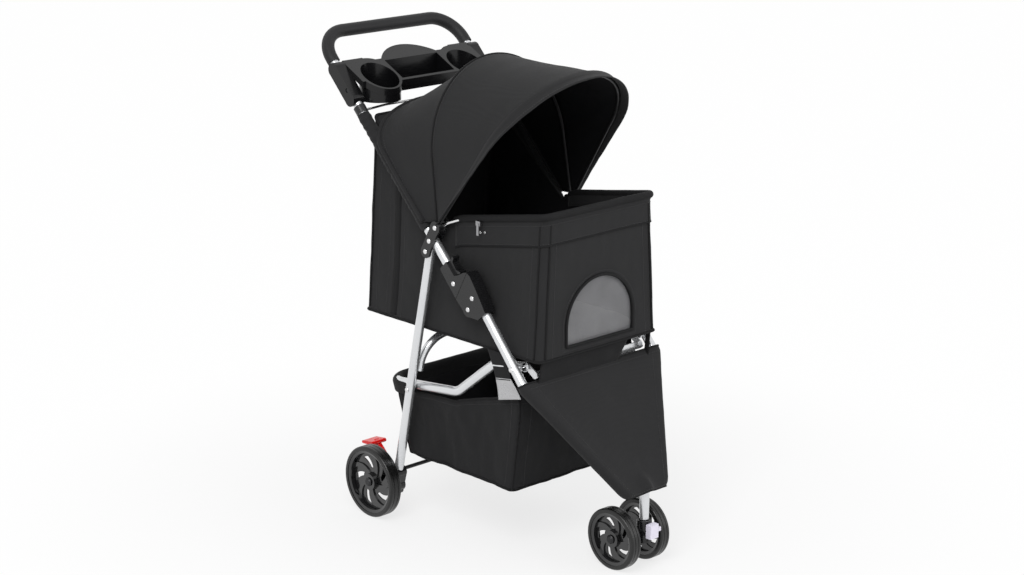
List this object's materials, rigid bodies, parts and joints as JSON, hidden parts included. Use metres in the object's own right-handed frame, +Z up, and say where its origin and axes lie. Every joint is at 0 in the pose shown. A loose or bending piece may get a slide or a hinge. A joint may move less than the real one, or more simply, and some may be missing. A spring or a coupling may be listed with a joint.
{
  "type": "pet stroller",
  "caption": "Folding pet stroller: tube frame on small wheels, fabric cabin with an arched mesh window, folding canopy, cup tray and storage basket.",
  "frame": {"origin": "on the floor, under the middle of the outline", "axes": "+Z up, -Y forward (the way it rolls when pushed), +X to the left hand of the person who pushes"},
  "size_m": [0.438, 0.7953, 0.9907],
  "materials": {
    "frame_tube": "silver paint, satin",
    "black_plastic": "fine grained moulding",
    "wheel_plastic": "glossy moulding",
    "tyre": "matte rubber",
    "foam": "soft foam",
    "rivet": "polished domes",
    "wire": "bright",
    "black_steel": "black enamel",
    "fabric": "charcoal oxford weave",
    "mesh": "open mesh",
    "fleece": "soft white fleece",
    "board": "stiff board",
    "red_plastic": "red moulding",
    "pale_plastic": "pale lilac moulding",
    "zip_metal": "nickel"
  },
  "bodies": {
    "front_frame": {"front_leg_tube": "frame_tube", "head_tube": "frame_tube", "leg_brace": "frame_tube", "fold_housing_left": "black_plastic", "fold_housing_right": "black_plastic", "fold_rivets": "rivet", "apron": "fabric", "link_rivets": "rivet"},
    "handle_frame": {"handle_tube": "frame_tube", "grip": "foam", "cup_tray": "black_plastic", "tray_screws": "black_steel", "wire_clips": "black_plastic", "hub_plate_left": "black_plastic", "hub_plate_right": "black_plastic", "hub_rivets": "rivet", "fold_knuckle_left": "black_plastic", "fold_knuckle_right": "black_plastic", "rim_bar": "wire", "rear_wire": "wire", "cabin": "fabric", "window_mesh": "mesh", "floor_board": "board", "floor_mat": "fleece", "canopy_rear": "fabric"},
    "rear_legs": {"rear_leg_left": "frame_tube", "rear_leg_right": "frame_tube", "rear_brace": "frame_tube", "spreader_rod": "black_steel", "axle_bracket_left": "black_plastic", "axle_bracket_right": "black_plastic", "rear_axles": "rivet", "cross_rivets": "rivet"},
    "basket_frame": {"basket_tube": "frame_tube", "basket": "fabric", "cross_spacers": "black_plastic"},
    "caster": {"caster_stem": "rivet", "caster_fork": "black_plastic", "front_axle": "rivet"},
    "caster_lock": {"caster_lock": "pale_plastic"},
    "front_wheel_left": {"front_rim_left": "wheel_plastic", "front_tyre_left": "tyre"},
    "front_wheel_right": {"front_rim_right": "wheel_plastic", "front_tyre_right": "tyre"},
    "rear_wheel_left": {"rear_rim_left": "wheel_plastic", "rear_tyre_left": "tyre"},
    "rear_wheel_right": {"rear_rim_right": "wheel_plastic", "rear_tyre_right": "tyre"},
    "brake_left": {"brake_pedal_left": "red_plastic"},
    "brake_right": {"brake_pedal_right": "red_plastic"},
    "latch_left": {"latch_left": "black_plastic"},
    "latch_right": {"latch_right": "black_plastic"},
    "middle_bow": {"mid_bow": "black_plastic", "canopy_top": "fabric"},
    "front_bow": {"front_bow": "black_plastic", "canopy_visor": "fabric"},
    "zip": {"zip_slider": "zip_metal"}
  },
  "joints": [
    {"name": "fold", "type": "hinge", "parent": "front_frame", "child": "handle_frame", "pos_m": [0, -0.07663, 0.5], "axis": [-1, 0, 0], "range_deg": [0, 130], "deforming": ["cabin", "window_mesh", "floor_board", "floor_mat"]},
    {"name": "rear_leg_fold", "type": "hinge", "parent": "handle_frame", "child": "rear_legs", "pos_m": [0, 0.04553, 0.59195], "axis": [1, 0, 0], "range_deg": [0, 86.82]},
    {"name": "basket_fold", "type": "hinge", "parent": "front_frame", "child": "basket_frame", "pos_m": [0, -0.19259, 0.4047], "axis": [-1, 0, 0], "range_deg": [0, 79.15], "deforming": ["basket"]},
    {"name": "caster_swivel", "type": "hinge", "parent": "front_frame", "child": "caster", "pos_m": [0, -0.36963, 0.12], "axis": [0, 0, 1], "continuous": true},
    {"name": "caster_lock_slide", "type": "slide", "parent": "caster", "child": "caster_lock", "axis": [0, 0, -1], "range_m": [0, 0.006]},
    {"name": "front_wheel_left_spin", "type": "hinge", "parent": "caster", "child": "front_wheel_left", "pos_m": [0.04, -0.32863, 0.062], "axis": [1, 0, 0], "continuous": true},
    {"name": "front_wheel_right_spin", "type": "hinge", "parent": "caster", "child": "front_wheel_right", "pos_m": [-0.04, -0.32863, 0.062], "axis": [1, 0, 0], "continuous": true},
    {"name": "rear_wheel_left_spin", "type": "hinge", "parent": "rear_legs", "child": "rear_wheel_left", "pos_m": [0.203, 0.20537, 0.075], "axis": [1, 0, 0], "continuous": true},
    {"name": "rear_wheel_right_spin", "type": "hinge", "parent": "rear_legs", "child": "rear_wheel_right", "pos_m": [-0.203, 0.20537, 0.075], "axis": [1, 0, 0], "continuous": true},
    {"name": "brake_left_press", "type": "hinge", "parent": "rear_legs", "child": "brake_left", "pos_m": [0.16, 0.20937, 0.105], "axis": [-1, 0, 0], "range_deg": [0, 18]},
    {"name": "brake_right_press", "type": "hinge", "parent": "rear_legs", "child": "brake_right", "pos_m": [-0.16, 0.20937, 0.105], "axis": [-1, 0, 0], "range_deg": [0, 18]},
    {"name": "latch_left_slide", "type": "slide", "parent": "handle_frame", "child": "latch_left", "axis": [0, 0.6947, 0.7193], "range_m": [0, 0.008], "stiffness_N_per_m": 400, "springref_m": -0.004},
    {"name": "latch_right_slide", "type": "slide", "parent": "handle_frame", "child": "latch_right", "axis": [0, 0.6947, 0.7193], "range_m": [0, 0.008], "stiffness_N_per_m": 400, "springref_m": -0.004},
    {"name": "middle_bow_fold", "type": "hinge", "parent": "handle_frame", "child": "middle_bow", "pos_m": [0, 0.01703, 0.64449], "axis": [-1, 0, 0], "range_deg": [0, 27], "deforming": ["canopy_rear"]},
    {"name": "front_bow_fold", "type": "hinge", "parent": "middle_bow", "child": "front_bow", "pos_m": [0, 0.01703, 0.64449], "axis": [-1, 0, 0], "range_deg": [0, 32.9], "deforming": ["canopy_top", "canopy_visor"]},
    {"name": "zip_slide", "type": "slide", "parent": "handle_frame", "child": "zip", "axis": [-0.14, 0.9761, -0.166], "range_m": [0, 0.06]}
  ],
  "couplings": [
    {"joint": "rear_leg_fold", "follows": "fold", "ratio": 0.664},
    {"joint": "basket_fold", "follows": "fold", "ratio": 0.605},
    {"joint": "front_bow_fold", "follows": "middle_bow_fold", "ratio": 1.2}
  ]
}
